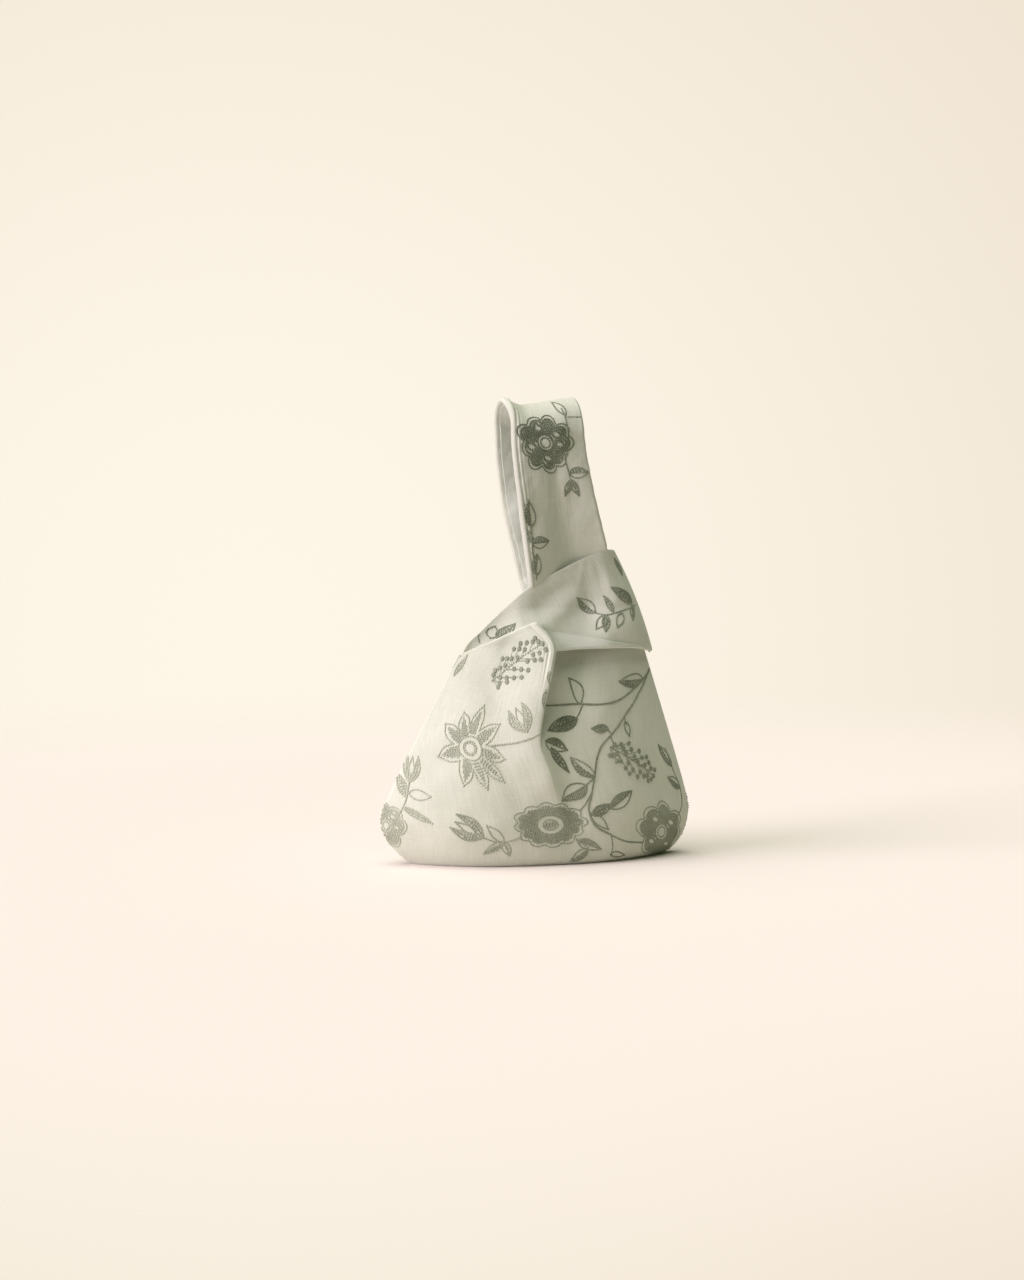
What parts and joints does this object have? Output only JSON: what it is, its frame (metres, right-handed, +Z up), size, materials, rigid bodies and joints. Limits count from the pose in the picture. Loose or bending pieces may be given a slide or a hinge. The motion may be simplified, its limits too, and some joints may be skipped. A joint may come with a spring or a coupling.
{
  "type": "japanese knot bag",
  "caption": "Soft lined knot bag that stands on a flat base, closed by a long strap loop drawn through a short one; vine embroidery on pale linen-like cloth.",
  "frame": {"origin": "on the floor under the centre of the bag's bounding box", "axes": "+Z up through the handle, +X to the bag's right as seen from the front, front of the bag towards -Y"},
  "size_m": [0.242, 0.094, 0.3462],
  "materials": {
    "outer_cloth": "slubbed plain-weave linen-like cloth with sage-green embroidery",
    "lining": "smooth plain pale sage cotton",
    "interlining": "soft matt felted interlining",
    "seam": "turned-in seam allowances of the outer cloth"
  },
  "bodies": {
    "bag_body": {"outer_front_panel": "outer_cloth", "outer_back_panel": "outer_cloth", "lining_front_panel": "lining", "lining_back_panel": "lining", "interlining_front": "interlining", "interlining_back": "interlining", "left_side_seam": "seam", "right_side_seam": "seam", "base_seam": "seam"},
    "short_loop": {"short_loop_front": "outer_cloth", "short_loop_back": "outer_cloth", "short_loop_lining_front": "lining", "short_loop_lining_back": "lining"},
    "strap_stem": {"long_strap_stem_front": "outer_cloth", "long_strap_stem_back": "outer_cloth"},
    "handle": {"handle_front_leg": "outer_cloth", "handle_back_leg": "outer_cloth", "handle_lining_front": "lining", "handle_lining_back": "lining", "handle_shoulder_seam": "seam"}
  },
  "joints": [
    {"name": "loop_lift", "type": "hinge", "parent": "bag_body", "child": "short_loop", "pos_m": [-0.056, 0, 0.158], "axis": [0, -1, 0], "range_deg": [0, 6]},
    {"name": "strap_draw", "type": "slide", "parent": "short_loop", "child": "strap_stem", "axis": [-0.1826, 0, 0.9832], "range_m": [0, 0.02]},
    {"name": "handle_swing", "type": "hinge", "parent": "strap_stem", "child": "handle", "pos_m": [0.0215, 0, 0.22068], "axis": [0.9191, 0, 0.3939], "range_deg": [-60, 60]}
  ]
}
